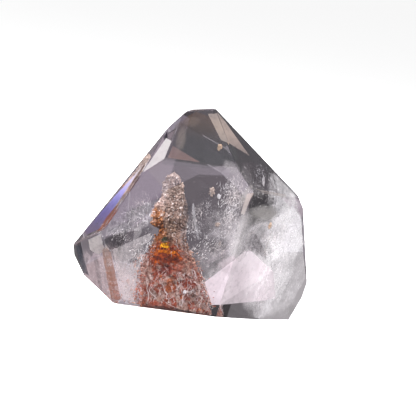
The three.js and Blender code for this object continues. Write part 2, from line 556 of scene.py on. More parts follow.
# What roughens the mound: size and strength in millimetres
ROUGHNESS = {"lumps": (1.6, 0.6), "pits": (0.5, 0.35)}
CLOUD_LEVEL = 0.75     # how light a cloud is where it leaves the mound as it was
MOUND_TONE = 0.35      # how light it is among its grains, which run from 0 to 1
FELT_TOP = 8.5 * MM    # below this, the mound is drawn in to leave room for its felt
FELT_FADE = 3 * MM     # and this far below it's drawn in by the felt's whole depth,
FELT_DEPTH = 0.6 * MM
FOOT_FADE = 2 * MM     # but less and less from here down to its foot
FOOT_HEIGHT = 0.15 * MM
GRAIN_CLEARANCE = 0.4 * MM  # between the facets and a grain on the mound
LOOSE_CLEARANCE = 0.5 * MM  # between the facets and a loose grain, sliver or flake
LARGEST_GRAIN = 2.1    # in usual grains
GRAIN_CUBE = 0.8       # a grain before it's drawn out, in sizes
# Angular bits that cover the mound: how many, their size and the heights between which they lie, in
# millimetres
GRAINS = {
    "foot_grains": (22000, 0.095, 0, 8),
    "neck_grains": (24000, 0.13, 8, 30),
    "garden_clods": (160, 0.2, 7.2, 18.5),
    "ledge_clods": (4200, 0.26, 9.5, 17.2),
}
# Loose bits beside the mound: how many, their size, the two ends in X and Z of the line along which
# they lie, how far they reach to the left (below 0) or the right of it, and their span in Y
LOOSE = {
    "skirt_grains": (800, 0.13, (-7.3, 0.5), (-7.6, 8.5), -0.85, (-7.5, -3)),
    "shoulder_grains": (1000, 0.17, (-6.3, 14.8), (-5.4, 17.8), -0.55, (-6, -3.8)),
    "right_skirt_grains": (420, 0.12, (4.2, 1.5), (-1, 10), 0.45, (-7.5, -4.5)),
    "ledge_shoulder": (520, 0.25, (-7.7, 14.4), (-6.2, 18.2), 0.75, (-5.6, -4)),
}
FIRST_LOOSE_SEED = 21


def garden_mound():
    """The mound under its grains, roughened."""
    mound = copy_of_node("garden", "garden_mound")
    apply_modifier(mound, "round", "SUBSURF", levels=2, render_levels=2)
    for name, (size, strength) in ROUGHNESS.items():
        push_by_clouds(mound, name, size * MM, strength * MM, level=CLOUD_LEVEL)
    vertices = mound.data.vertices
    outward = [vertex.normal.copy() for vertex in vertices]
    for vertex, way in zip(vertices, outward):
        low = min(1, max(0, (FELT_TOP - vertex.co.z) / FELT_FADE)) * min(1, vertex.co.z / FOOT_FADE)
        vertex.co -= way * FELT_DEPTH * low
        vertex.co.z = max(vertex.co.z, FOOT_HEIGHT)
    set_values(mound.data, "grain_tone", np.full(len(vertices), MOUND_TONE))
    mound.data.shade_smooth()
    return mound


def points_on(piece, count, rng):
    """Points spread evenly over a piece's surface, and the normals there."""
    mesh = piece.data
    mesh.calc_loop_triangles()
    corners = np.array([[mesh.vertices[i].co for i in t.vertices] for t in mesh.loop_triangles])
    across = np.cross(corners[:, 1] - corners[:, 0], corners[:, 2] - corners[:, 0])
    area = np.linalg.norm(across, axis=1)
    chosen = rng.choice(len(area), count, p=area / area.sum())
    u, v = rng.random((2, count))
    flip = u + v > 1
    u[flip], v[flip] = 1 - u[flip], 1 - v[flip]
    first, second, third = corners[chosen].transpose(1, 0, 2)
    points = first + u[:, None] * (second - first) + v[:, None] * (third - first)
    return points, across[chosen] / area[chosen][:, None]


def garden_grains(name, mound, facets, seed):
    """Angular bits that cover the mound like sand and small clods."""
    number, size, low, high = GRAINS[name]
    rng = np.random.default_rng(seed)
    points, normals = points_on(mound, number, rng)
    sizes = size * MM * np.minimum(rng.lognormal(0, 0.4, number), LARGEST_GRAIN)
    points = points + normals * (sizes * rng.uniform(-0.1, 0.8, number))[:, None]
    height = points[:, 2]
    kept = (depth_inside(points, facets) > GRAIN_CLEARANCE) & (height > GRAIN_CLEARANCE)
    kept &= (height > low * MM) & (height < high * MM)
    return grains_at(name, points[kept], sizes[kept], rng)


def loose_grains(name, facets, seed):
    """Loose bits that thin out away from the mound."""
    number, size, foot, top, reach, span = LOOSE[name]
    rng = np.random.default_rng(seed)
    along = rng.random(number)
    line = np.array(foot) + along[:, None] * (np.array(top) - np.array(foot))
    out = rng.exponential(abs(reach), number) * (1.2 - 0.6 * along) - 0.3
    across = line[:, 0] + np.sign(reach) * out
    points = np.stack([across, rng.uniform(*span, number), line[:, 1]], 1) * MM
    sizes = size * MM * rng.lognormal(0, 0.45, number)
    kept = depth_inside(points, facets) > LOOSE_CLEARANCE
    return grains_at(name, points[kept], sizes[kept], rng)


def grains_at(name, points, sizes, rng):
    count = len(points)
    bpy.ops.mesh.primitive_cube_add(size=GRAIN_CUBE)
    shape, faces = primitive_shape()
    stretch = sizes[:, None] * rng.uniform(0.6, 1.3, (count, 3))
    grains = joined_mesh(name, shape, faces, points, random_turns(count, rng), stretch)
    set_values(grains.data, "grain_tone", np.repeat(rng.random(count), len(shape)))
    return grains


# Threads: how many, thickness and length in millimetres, the heights between which they start, the
# furthest left that they start, and how far they stand off
THREADS = {
    "felt": (340, 0.026, 1.5, 0.5, 7.2, -20, 0.8),
    "long_threads": (24, 0.05, 3.2, 2.5, 7.2, -20, 0.5),
    "neck_wisps": (36, 0.022, 1.5, 9, 19, -4.6, 0.4),
}
THREAD_STEPS = 12
THREAD_STARTS = 20000  # places on the mound, from which the starts are picked
THREAD_CLEARANCE = 0.35 * MM
THREAD_FOOT = 0.3 * MM
THREAD_SEED = 31


def garden_threads(mound, facets):
    """Pale threads that wander down over the mound's foot."""
    rng = np.random.default_rng(THREAD_SEED)
    data = bpy.data.curves.new("garden_threads", "CURVE")
    data.dimensions = "3D"
    data.bevel_depth = 1
    data.bevel_resolution = 0
    data.resolution_u = 1
    tapers = np.sin(np.linspace(0.25, 2.9, THREAD_STEPS))
    starts, _ = points_on(mound, THREAD_STARTS, rng)
    height = starts[:, 2]
    for count, thickness, length, bottom, top, left, stand in THREADS.values():
        usable = (height > bottom * MM) & (height < top * MM) & (starts[:, 0] > left * MM)
        for first in rng.choice(np.flatnonzero(usable), count, replace=False):
            point = Vector(starts[first])
            way = Vector((rng.normal(0, 0.35), rng.normal(0, 0.35), -1))
            lift = (0.1 + stand * rng.random()) * MM
            stride = length * rng.lognormal(0, 0.35) * MM / THREAD_STEPS
            run = []
            for _ in range(THREAD_STEPS):
                _, near, outward, _ = mound.closest_point_on_mesh(point)
                run.append(near + outward * lift)
                way = way + Vector(rng.normal(0, 0.09, 3))
                way = (way - outward * way.dot(outward)).normalized()
                point = near + way * stride
            inside = min(depth_inside(np.array(run), facets))
            if inside < THREAD_CLEARANCE or min(p.z for p in run) < THREAD_FOOT:
                continue
            line = data.splines.new("POLY")
            line.points.add(THREAD_STEPS - 1)
            for place, spot, taper in zip(run, line.points, tapers):
                spot.co = (*place, 1)
                spot.radius = thickness * MM * taper
    select(new_object("garden_threads", data))
    bpy.ops.object.convert(target="MESH")
    return bpy.context.active_object


# ---- Loose things in the clear quartz ----

# Larger crumbs: place, length and width in millimetres, and finish
CRUMBS = {
    "pink_crumb": ((1.1, -7, 19.5), 1.2, 0.8, "beige"),
    "white_crumb": ((2.3, -7, 18.9), 0.7, 0.6, "pale_needles"),
    "beige_crumb": ((2.8, -7, 14.5), 0.8, 0.7, "beige"),
    "amber_crumb": ((10.7, -3, 15.2), 1.1, 0.6, "amber"),
    "long_crumb": ((8, -4, 21.2), 1.9, 0.5, "pale_needles"),
    "golden_drop": ((1.3, -8, 26.1), 0.9, 0.7, "amber"),
    "white_drop": ((-0.5, -7.4, 3.3), 0.7, 0.55, "pale_needles"),
    # a pale crumb that paints a glint: a painted highlight
    "sparkle": ((-3.2, -7, 15.3), 0.35, 0.3, "pale_needles"),
    "low_speck": ((3.6, -6, 11.6), 0.5, 0.4, "beige"),
}

# Drifts of slivers: middle and half size in millimetres, how many tufts, and how far they lean to
# the right on their way up
DRIFTS = {
    "right": ((10.5, 2, 13.5), (3.6, 4, 4.5), 50, 0.25),
    "under_right_edge": ((8.8, -1.5, 19.2), (2.8, 1.5, 1), 6, 0.1),
    "right_crown": ((7.8, -3, 22.2), (2.8, 1.6, 1), 2, -0.7),
    "middle": ((4.7, -8, 17.2), (1.5, 0.8, 4.2), 46, 0.15),
    "low_middle": ((2.8, -8, 10.8), (2.6, 1.2, 2), 17, 0.7),
    "by_the_garden": ((0.9, -7, 15.6), (1.8, 1, 3.8), 5, 0.1),
    "left_silver": ((-9.4, -9, 14.6), (1.6, 1.5, 1.6), 16, -0.5),
    "left_dark_silver": ((-11.5, -9.5, 10.6), (1.7, 1.2, 0.7), 4, 0.5),
    "left_low_silver": ((-8.4, -8, 8.9), (1.1, 1.5, 1.4), 13, 0.5),
    "left": ((-11, -7, 6), (2.4, 3, 3), 8, -0.2),
    "streak": ((-0.5, -8.5, 14.6), (0.15, 0.2, 2.4), 9, -0.2),
}
TUFT_SLIVERS = 40
TUFT_SIZE = 0.75 * MM
SLIVER_SIZE = (0.24 * MM, 0.034 * MM)  # usual length and width
SLIVER_SEED = 21
DUST = 160
DUST_REACH = np.array([[-15, -8, 1], [15, 8, 29]]) * MM


def scattered(drift, waver, rng):
    """Places in a drift, as many as it says, and the ways that things lie there."""
    middle, half, number, lean = drift
    places = np.array(middle) + rng.normal(0, 0.6, (number, 3)) * np.array(half)
    return places * MM, np.array((lean, 0, 1)) + rng.normal(0, waver, (number, 3))


def pale_slivers(facets):
    """Short slivers, in tufts that drift through the clear quartz as feathery clouds, and dust."""
    rng = np.random.default_rng(SLIVER_SEED)
    places, ways, scales = [], [], []
    for drift in DRIFTS.values():
        for place, way in zip(*scattered(drift, 0.22, rng)):
            spread = rng.normal(0, TUFT_SIZE, (TUFT_SLIVERS, 3)) * rng.uniform(0.4, 1.2)
            places.append(place + spread)
            ways.append(way + rng.normal(0, 0.28, (TUFT_SLIVERS, 3)))
            scales.append(np.full(TUFT_SLIVERS, rng.lognormal(0, 0.25)))
    places.append(rng.uniform(*DUST_REACH, (DUST, 3)))
    ways.append(rng.normal(0, 1, (DUST, 3)))
    scales.append(np.ones(DUST))
    return slivers_at("pale_slivers", places, ways, scales, SLIVER_SIZE, facets, rng)


def slivers_at(name, places, ways, scales, size, facets, rng):
    """Thin slivers that lie along their ways, as one mesh. places, ways and scales are lists of
    arrays with an entry a sliver."""
    places, ways, scales = (np.concatenate(values) for values in (places, ways, scales))
    kept = depth_inside(places, facets) > LOOSE_CLEARANCE
    places, ways, scales = places[kept], ways[kept], scales[kept]
    count = len(places)
    along = ways / np.linalg.norm(ways, axis=1)[:, None]
    side = np.cross(along, rng.standard_normal((count, 3)))
    side /= np.linalg.norm(side, axis=1)[:, None]
    turns = np.stack([side, np.cross(along, side), along], axis=2)
    bpy.ops.mesh.primitive_cone_add(vertices=3, radius1=0.5, depth=1)
    shape, faces = primitive_shape()
    length = size[0] * scales * rng.lognormal(0, 0.5, count)
    width = size[1] * scales * rng.lognormal(0, 0.3, count)
    return joined_mesh(name, shape, faces, places, turns, np.stack([width, width, length], 1))


# Flakes that stand out from the slivers, the bright ones painted glints: colour, seed, and drifts as
# above, with how many flakes
FLAKES = {
    "glint_flakes": ((0.72, 0.7, 0.69), 41, {
        "by_the_ledge": ((-8.2, -8.5, 15.4), (1, 0.8, 1.3), 60, -0.4),
        "left_of_the_ledge": ((-9.8, -8.5, 14.1), (1.7, 0.8, 0.9), 55, 0.7),
        "under_the_ledge": ((-7.6, -8.5, 10.6), (0.7, 0.8, 1.3), 55, 0.6),
        "low_left": ((-8.7, -8.5, 8), (0.7, 0.8, 1), 28, 0.6),
        "in_the_dark": ((-11.6, -9.4, 10.8), (1.4, 0.4, 0.9), 30, 0.6),
        "middle": ((3.8, -8, 17.4), (1.6, 0.8, 3.4), 75, 0.4),
        "low_middle": ((2, -8, 11.5), (2, 0.8, 2.2), 42, 0.7),
        "by_the_neck": ((-1.2, -8, 13.6), (0.7, 0.8, 2.4), 22, 0.1),
        "right_dark": ((8.3, -5, 20.8), (1.7, 0.8, 1.5), 22, -0.7),
        "right": ((11.8, -1.5, 14.6), (2.8, 1.6, 3.6), 60, 0.3),
    }),
    "dark_flakes": ((0.12, 0.11, 0.115), 42, {
        "right": ((12.5, -1, 14), (3.2, 1.6, 4.6), 190, 0.3),
        "right_crown": ((11.5, -2.5, 19.3), (2.2, 1.4, 1.6), 50, -0.5),
        "left_band": ((-9.6, -9.2, 15), (2.4, 0.8, 1.3), 80, 0.6),
        "by_the_ledge": ((-8.1, -9.2, 11.6), (0.9, 0.8, 2.8), 60, 0.5),
        "middle": ((4, -8.6, 15.5), (2.2, 0.8, 4.6), 130, 0.3),
        "low_middle": ((1.8, -8.2, 9.5), (1.8, 0.8, 1.8), 40, 0.7),
        "left_low": ((-10.2, -8.8, 5), (1.5, 0.8, 3.2), 40, 0),
    }),
}
FLAKE_SIZE = (0.3 * MM, 0.085 * MM)


def flakes(name, drifts, facets, seed):
    """Single flakes, larger than the slivers."""
    rng = np.random.default_rng(seed)
    places, ways = zip(*(scattered(drift, 0.4, rng) for drift in drifts.values()))
    scales = [np.ones(len(some)) for some in places]
    return slivers_at(name, places, ways, scales, FLAKE_SIZE, facets, rng)


# How deep a crumb is, the size of the first one's lumps and how much larger each next one's are, in
# its widths
CRUMB_DEPTH = 0.8
CRUMB_LUMPS = 0.3
LUMP_GROWTH = 0.03


def crumb(name, place, length, width, seed):
    """One lumpy crumb."""
    bpy.ops.mesh.primitive_ico_sphere_add(subdivisions=3, radius=0.5, location=(0, 0, 0))
    piece = just_added(name)
    with editing(piece):
        bpy.ops.transform.resize(value=(width * MM, width * CRUMB_DEPTH * MM, length * MM))
        bpy.ops.transform.translate(value=Vector(place) * MM)
    lumps = width * (CRUMB_LUMPS + LUMP_GROWTH * seed) * MM
    push_by_clouds(piece, name, lumps, width * MM)
    return piece


# Healed cracks: middle in millimetres, turn about Z and lean in degrees
VEILS = {
    "front_veil": ((3, -6.5, 12), 12, 2),
    "second_veil": ((3, -4, 12), 20, -4),
    "third_veil": ((3, -1.5, 12), 8, 5),
    "fourth_veil": ((4, 1, 12), 24, -6),
    "fifth_veil": ((5, 3.5, 12), 14, 3),
    "back_veil": ((6, 6, 12), 22, 0),
    "cross_veil": ((12, 2, 10), 80, 8),
}
VEIL_SIZE = 44 * MM
VEIL_CUTS = 72
VEIL_CLOUDS = 7 * MM  # the size of the clouds that curve it, and how far they do
VEIL_CURVE = 3 * MM
VEIL_CLEARANCE = 0.35 * MM


def veil(name, middle, turn, lean, facets):
    """A thin, gently curved sheet of tiny bubbles, ending just inside the facets."""
    bpy.ops.mesh.primitive_grid_add(x_subdivisions=VEIL_CUTS, y_subdivisions=VEIL_CUTS, size=VEIL_SIZE)
    piece = just_added(name)
    spin = Matrix.Rotation(math.radians(turn), 4, "Z")
    tip = Matrix.Rotation(math.radians(90 + lean), 4, "X")
    piece.data.transform(Matrix.Translation(Vector(middle) * MM) @ spin @ tip)
    push_by_clouds(piece, name, VEIL_CLOUDS, VEIL_CURVE)
    for centre, normal in facets:
        with editing(piece):
            place = centre - normal * VEIL_CLEARANCE
            bpy.ops.mesh.bisect(plane_co=place, plane_no=normal, clear_outer=True)
    piece.data.shade_smooth()
    return piece


def upright(depth, *corners):
    """Corners that all lie this far back, from their places across and up."""
    return [(across, depth, up) for across, up in corners]


# Thin films: corners in millimetres, colours from foot to top, how much each covers, and how far
# it's broken up. Some are flaws; others are painted light, shade, sheen and reflections, marked
# where they stand.
FILMS = {
    # Painted light: the violet and blue that the quartz splits light into along the left slope.
    "violet_film": (
        [(-8.3, -13.4, 23.2), (-9.1, -12.9, 22), (-9.9, -12.4, 20.5), (-12.2, -12.3, 15.7),
         (-14.5, -11.8, 11), (-16.4, -8.5, 9.6), (-16.8, -6.9, 10.1), (-14.9, -8.3, 13.1),
         (-13, -9.6, 16.1), (-11, -11.3, 19.1), (-9.7, -12.3, 21.1)],
        [(0.11, 0.08, 0.13), (0.1, 0.08, 0.16), (0.11, 0.09, 0.26), (0.16, 0.15, 0.4),
         (0.35, 0.34, 0.75), (0.62, 0.58, 0.75), (0.5, 0.42, 0.44), (0.35, 0.3, 0.36)], 0.9, 0),
    # Painted reflection: a pale sheet under the upper left facet makes it shine bright.
    "pale_reflection_film": (
        [(-9.4, -13.7, 20.9), (-6.5, -13.5, 23.4), (-5.8, -13.1, 26.2), (-6.7, -12.9, 26.5),
         (-8.9, -13.4, 22)],
        [(0.45, 0.42, 0.42), (0.5, 0.48, 0.47)], 0.8, 0),
    # Painted sheen: pinkish sheets right under the crown facets at the upper right.
    "rosy_sheen_film": (
        [(0.2, -10.6, 31.5), (1.6, -9.7, 30.2), (6.2, -7.5, 25.4), (2.7, -10.6, 27)],
        [(0.2, 0.16, 0.15), (0.36, 0.29, 0.25), (0.26, 0.22, 0.2)], 0.7, 0),
    "rosy_front_sheen_film": (
        [(-1, -11.4, 31.1), (0.3, -10.9, 31.3), (2.7, -10.8, 27.1), (1.6, -11.1, 27.4)],
        [(0.26, 0.22, 0.2), (0.34, 0.28, 0.24), (0.26, 0.22, 0.2)], 0.7, 0),
    # Painted shade: a dark sheet just under the front crown facet darkens the whole facet.
    "crown_shade_film": (
        [(-6.9, -12.5, 22.6), (-6.1, -12.2, 25.6), (-5.4, -11.7, 29.4), (-2.9, -11, 31.1),
         (1.4, -9.4, 30.2), (4.5, -9.4, 24.6), (0.2, -10.8, 22.9)],
        [(0.03, 0.034, 0.034), (0.03, 0.034, 0.034), (0.032, 0.034, 0.034), (0.06, 0.045, 0.035),
         (0.08, 0.05, 0.035)], 0.5, 0.35),
    "brown_film": (
        [(-5.6, -12.9, 25.5), (-6.1, -13.2, 23.6), (-1.1, -12, 23.6)],
        [(0.2, 0.13, 0.12), (0.16, 0.11, 0.11)], 0.55, 0),
    "mauve_film": (
        [(-13.3, -12.6, 12.6), (-9.5, -13.5, 20.7), (-6.3, -13.2, 23.3), (3.8, -10.7, 23.3),
         (3.5, -10.6, 22.2), (-1, -11.6, 21.8), (-6.5, -12.2, 18)],
        [(0.26, 0.23, 0.265)] * 2, 0.3, 0),
    "silver_film": (
        upright(-10, (-13.9, 12.7), (-6.8, 17.2), (-7.7, 12.8), (-9.6, 11.8), (-14, 10.3)),
        [(0.34, 0.32, 0.33), (0.32, 0.3, 0.32)], 0.5, 1),
    "dark_film": (
        upright(-10, (-14, 10.3), (-9.6, 11.8), (-7.2, 11.7), (-13, 8.3)),
        [(0.03, 0.025, 0.03)] * 2, 0.46, 0.25),
    "quad_shade_film": (
        upright(-9.9, (-10.95, 11.5), (-9.75, 11.89), (-9.67, 10.95), (-10.49, 9.73)),
        [(0.03, 0.025, 0.03)] * 2, 0.45, 0.3),
    "gap_mist_film": (
        upright(-9.9, (-9.77, 12.05), (-8.73, 12.42), (-8.43, 11.59), (-8.99, 10.72), (-9.61, 10.16),
                (-9.66, 11.11)),
        [(0.4, 0.38, 0.38)] * 2, 0.55, 0.5),
    "foggy_film": (
        upright(-9.5, (-12.6, 8.4), (-7.2, 11.8), (-6.8, 11), (-8.4, 9.1), (-9.5, 7.6), (-9.7, 6.7),
                (-7.8, 6.9), (-8.2, 5.4), (-7.9, 0.8), (-9.7, 0.8), (-10.7, 3.7), (-12, 6.8)),
        [(0.4, 0.35, 0.35), (0.39, 0.355, 0.355), (0.39, 0.365, 0.365)], 0.6, 0.6),
    "pale_sliver": (
        upright(-9, (6.8, 19.8), (7.6, 20.1), (6.9, 16.5), (6.3, 16.6)),
        [(0.42, 0.38, 0.36), (0.45, 0.37, 0.34)], 0.7, 0),
    "pink_film": (
        [(2.4, -7.6, 5.2), (6.2, -7.66, 9.1), (5.72, -7.05, 5.45), (5.2, -6.53, 2), (4, -6.4, 1.8)],
        [(0.84, 0.73, 0.79), (0.86, 0.74, 0.8), (0.84, 0.72, 0.77)], 0.64, 0.05),
    "pink_side_film": (
        [(6.2, -7.66, 9.1), (7.6, -6.1, 10.8), (8.7, -4.8, 10.9), (12.4, 0.5, 8), (13.5, 4.5, 3.6),
         (5.2, -6.53, 2), (5.72, -7.05, 5.45)],
        [(0.99, 0.88, 0.92), (1, 0.88, 0.93), (0.98, 0.88, 0.92)], 0.75, 0.05),
    # Painted shade: dark sheets behind the band, the ledge and the notch.
    "band_shade_film": (
        upright(-9, (-11.3, 11.1), (-10.9, 14.8), (-8.1, 16.6), (-6.4, 17.7), (-7, 16.6), (-7.7, 15.7),
                (-7.9, 14.7), (-10.7, 13.1), (-14.1, 11.1)),
        [(0.03, 0.03, 0.035)] * 2, 0.62, 0.4),
    "ledge_shade_film": (
        upright(-9.1, (-8.8, 15.4), (-8, 16.4), (-6.4, 17.8), (-7, 16.7), (-7.6, 15.8), (-7.8, 14.8),
                (-8.3, 14.5)),
        [(0.02, 0.02, 0.025)] * 2, 0.55, 0.5),
    "notch_shade_film": (
        upright(-9.1, (-9.2, 11.8), (-7.6, 12.8), (-6.9, 12.5), (-7.7, 10.9), (-8.8, 10.6)),
        [(0.02, 0.02, 0.025)] * 2, 0.5, 0.4),
    "corner_film": (
        [(-15.9, -8.8, 9.3), (-14.2, -12.3, 10.6), (-13.7, -11.8, 9.2), (-12.9, -11.6, 8.3),
         (-14, -9.4, 7.3), (-15.4, -8.2, 7.8)],
        [(0.8, 0.73, 0.71), (0.74, 0.67, 0.66)], 0.85, 0.2),
    "wisp_film": (
        [(-14.7, -8.3, 6.9), (-14.1, -9.1, 6.9), (-13.3, -8.3, 4.7), (-12.6, -7.2, 2.2),
         (-12.9, -6.5, 1.5), (-13.8, -7.1, 3.9)],
        [(0.06, 0.055, 0.06), (0.07, 0.06, 0.065)], 0.65, 0.85),
    # Painted refraction: the garden's orange-brown image as the left facets bend it into view, along the
    # slope's edge.
    "edge_garden_image_film": (
        [(-14.7, -11.9, 10.7), (-14.3, -12.9, 11), (-13.9, -13.1, 12.2), (-13.1, -13.2, 13.2),
         (-12.5, -13.3, 14.4), (-12.2, -13.4, 15.7), (-11.4, -13.5, 16.6), (-11.5, -13.2, 16.5),
         (-12.2, -12.8, 15.5), (-13, -12.1, 14.2), (-13.7, -11.6, 13), (-14.2, -11.7, 11.8)],
        [(0.2, 0.045, 0.012), (0.15, 0.035, 0.012), (0.12, 0.04, 0.02)], 0.85, 0.1),
    "feather_film": (
        upright(-8.5, (-1.46, 17.32), (-1.25, 17.19), (-0.78, 15.66), (-0.24, 13.83), (0.55, 11.7),
                (0.41, 11.68), (-0.49, 13.47), (-1.07, 14.99), (-1.43, 16.37)),
        [(0.32, 0.31, 0.32), (0.46, 0.45, 0.46), (0.5, 0.49, 0.5)], 0.5, 0.3),
    "lens_film": (
        [(4.7, -9.4, 24.1), (6.5, -7, 24.4), (8.1, -5.3, 23.9), (9.5, -4.5, 22.5), (10.8, -4.5, 20.4),
         (8.6, -7.1, 20.4), (7, -8.9, 20.7), (5.9, -9.3, 22.1)],
        [(0.025, 0.02, 0.025)] * 2, 0.5, 0.4),
    "brown_edge_film": (
        [(-9.2, -12.9, 21.9), (-9.2, -13.5, 21.9), (-10.1, -13.6, 19.4), (-11.3, -13.4, 17.1),
         (-11.4, -13.4, 16.7), (-10.5, -12.7, 19.4)],
        [(0.05, 0.014, 0.008), (0.035, 0.014, 0.01)], 0.8, 0.15),
    "side_mist_film": (
        [(7.4, -8.7, 17.7), (9.2, -6.7, 18), (11.3, -4.4, 18.4), (11.7, -3.6, 17.1), (10.5, -4.5, 15.8),
         (8.7, -6.4, 15.1), (7.2, -8.1, 15.1)],
        [(0.25, 0.24, 0.235), (0.24, 0.23, 0.225)], 0.6, 0.55),
    "flank_mist_film": (
        [(7.2, -8.8, 16.9), (8.1, -7.6, 16.5), (8.3, -6.1, 12.7), (8, -5.8, 10.1), (7.2, -6.3, 9.1),
         (6.3, -7.45, 9.2), (6.3, -7.7, 10.3), (6.6, -8, 12.2), (6.9, -8.3, 14.1)],
        [(0.4, 0.38, 0.38), (0.38, 0.36, 0.365)], 0.6, 0.6),
    "dark_feather_film": (
        [(7.9, -6.9, 13.8), (8.5, -6.3, 14.3), (9.7, -4.4, 12.7), (10.9, -2.6, 11), (11.2, -1.9, 9.9),
         (10.2, -3.1, 10.3), (8.9, -5, 11.6)],
        [(0.06, 0.05, 0.055)] * 2, 0.5, 0.5),
    "white_line_film": (
        [(7.68, -7.16, 12.85), (8.61, -6.58, 14.36), (9.66, -5.77, 15.6), (9.77, -5.62, 15.5),
         (8.78, -6.33, 14.22), (7.78, -6.98, 12.65)],
        [(0.5, 0.47, 0.46), (0.52, 0.49, 0.48)], 0.6, 0.3),
    "edge_line_film": (
        [(11.34, -3.39, 14.22), (11.47, -3.25, 14.23), (11.2, -2.98, 12.46), (10.92, -2.73, 10.69),
         (10.77, -2.9, 10.68), (11.02, -3.18, 12.44)],
        [(0.5, 0.46, 0.43), (0.52, 0.48, 0.45)], 0.55, 0.2),
    # Painted highlight: a bright line along a facet edge.
    "glint_film": (
        [(7.4, -9.08, 20.67), (8.73, -7.42, 20.2), (10.76, -5.04, 20.02), (12.63, -2.84, 19.87),
         (12.5, -3.04, 20.05), (10.64, -5.22, 20.2), (8.6, -7.63, 20.38)],
        [(0.42, 0.36, 0.32)] * 2, 0.6, 0.2),
    # Painted refraction: the garden's reddish image as the lower left facets bend it into view.
    "foot_garden_image_film": (
        [(-13.4, -12.1, 8.6), (-12.6, -11.9, 7.9), (-11.7, -11.2, 5.5), (-10.8, -10.3, 3),
         (-10, -9.5, 0.7), (-11.2, -8.5, 0.8), (-12.2, -9.4, 3.5), (-13.1, -10.4, 6.2),
         (-13.7, -11.2, 8)],
        [(0.3, 0.1, 0.055), (0.36, 0.16, 0.1), (0.42, 0.27, 0.22)], 0.9, 0.45),
    "dusky_film": (
        [(-17.9, -6.1, 7.8), (-17.2, -7.2, 8.1), (-16.2, -6.5, 5.6), (-15.2, -6, 3.5),
         (-16.1, -5.2, 3.8), (-17.3, -5.4, 6)],
        [(0.03, 0.035, 0.055), (0.025, 0.03, 0.045)], 0.75, 0),
}


def film(name, corners):
    """A flat film, given by its corners."""
    bpy.ops.mesh.primitive_circle_add(vertices=len(corners), radius=MM, fill_type="NGON")
    piece = just_added(name)
    for vertex, corner in zip(piece.data.vertices, corners):
        vertex.co = Vector(corner) * MM
    return piece


# Mists: middle and two half axes in millimetres, colour, how much each covers, and how far it's
# broken up. Those named light are painted light, pale ovals where light shows in the quartz; those
# named dark, neck_dark and dark_by_neck among them, are painted shade. The others are clouds.
MISTS = {
    "tip_cloud": ((-3.1, -11.9, 29.6), (1.5, 0.4, 0.5), (-0.3, 0, 0.9), (0.16, 0.122, 0.1), 0.22, 0.3),
    "tip_rim": ((-4.5, -12.7, 26.6), (0.1, 0.3, 2.3), (-0.9, -0.2, 0), (0.163, 0.138, 0.121), 0.42, 0.4),
    "olive_cloud": ((9.5, -4.9, 17.2), (2.6, 3, 0), (-0.1, -0.6, 1.4), (0.43, 0.415, 0.395), 0.85, 0.4),
    "dark_cloud": ((8.8, -4.1, 11.9), (1.5, 2.3, -1.7), (1, 0.9, 0.9), (0.05, 0.045, 0.05), 0.8, 0.6),
    "edge_light": ((6.5, -7.6, 13.8), (0.5, -0.7, 4.2), (-0.9, -0.3, 0.1), (0.42, 0.4, 0.4), 0.8, 0.6),
    "middle_dark": ((3.2, -8, 16), (2.3, 0.4, 0.8), (-0.5, -0.4, 1.5), (0.05, 0.047, 0.05), 0.65, 0.8),
    "low_dark": ((3.1, -7, 11.2), (1.6, 0.2, 0.9), (-0.7, -0.4, 1.2), (0.05, 0.045, 0.05), 0.85, 0.4),
    "pane_light": ((5.4, -6.6, 8.9), (1.7, 0.2, 1.3), (-0.6, -0.3, 0.8), (0.5, 0.44, 0.46), 0.62, 0.3),
    "neck_dark": ((-2.2, -8.9, 16.3), (-0.2, -0.4, 1.9), (-0.75, -0.1, -0.1),
        (0.03, 0.03, 0.035), 0.8, 0.6),
    "band_dark": ((-10.2, -11.6, 14.6), (2.1, 0.2, 1.5), (-0.5, -0.3, 0.8),
        (0.035, 0.035, 0.04), 0.7, 1),
    "wedge_light": ((6.5, -8.8, 19.3), (0.6, -0.3, 2.1), (-0.7, -0.2, 0.2), (0.5, 0.47, 0.45), 0.5, 0.3),
    "haze_by_edge": ((8.1, -7.6, 20.4), (1.2, 0.7, -1.1), (0.7, 1.4, 0.7), (0.2, 0.19, 0.19), 0.3, 0.6),
    "dark_reach": ((9.8, -5.5, 19.1), (1.5, 1.8, -0.1), (0, -0.3, 0.9), (0.03, 0.028, 0.03), 0.8, 0.5),
    "calm_cloud": ((11, -1.1, 10.3), (1.7, 2.7, -2.3), (1.4, 1.3, 1.1), (0.32, 0.31, 0.31), 0.6, 0.5),
    "lower_grey": ((9.8, -2.3, 12.2), (1.2, 1.8, -1.5), (1.1, 1, 0.8), (0.12, 0.115, 0.12), 0.5, 0.6),
    "upper_dark": ((0.7, -9, 19), (2, 0.4, 0.7), (-0.4, -0.4, 1.3), (0.04, 0.037, 0.042), 0.4, 0.8),
    "silver_dark": ((-8.4, -9.7, 8.6), (1, -0.1, 1.6), (-0.8, -0.3, 0.5), (0.04, 0.04, 0.045), 0.5, 1),
    "grey_cloud": ((9.3, -4.1, 14.1), (0.6, 0.2, 1.6), (-1.1, -1.5, 0.5),
        (0.16, 0.155, 0.155), 0.6, 0.5),
    "foot_light": ((6.3, -7.1, 11.1), (0.3, -0.3, 1.7), (-1.2, -0.4, 0.3), (0.52, 0.5, 0.5), 0.7, 0.4),
    "hollow_dark": ((1.8, -8.1, 14.1), (1.1, 0, 1.3), (-0.9, -0.4, 0.8), (0.05, 0.047, 0.05), 0.6, 0.6),
    "dark_by_neck": ((-0.6, -8.8, 14.4), (0, -0.4, 2), (-0.8, -0.2, 0), (0.05, 0.045, 0.05), 0.55, 0.6),
    "crown_light": ((3.7, -10.6, 23.5), (1.4, 0.5, -0.9), (0.5, 0, 0.8), (0.33, 0.31, 0.32), 0.6, 0.5),
}
MIST_CORNERS = 32


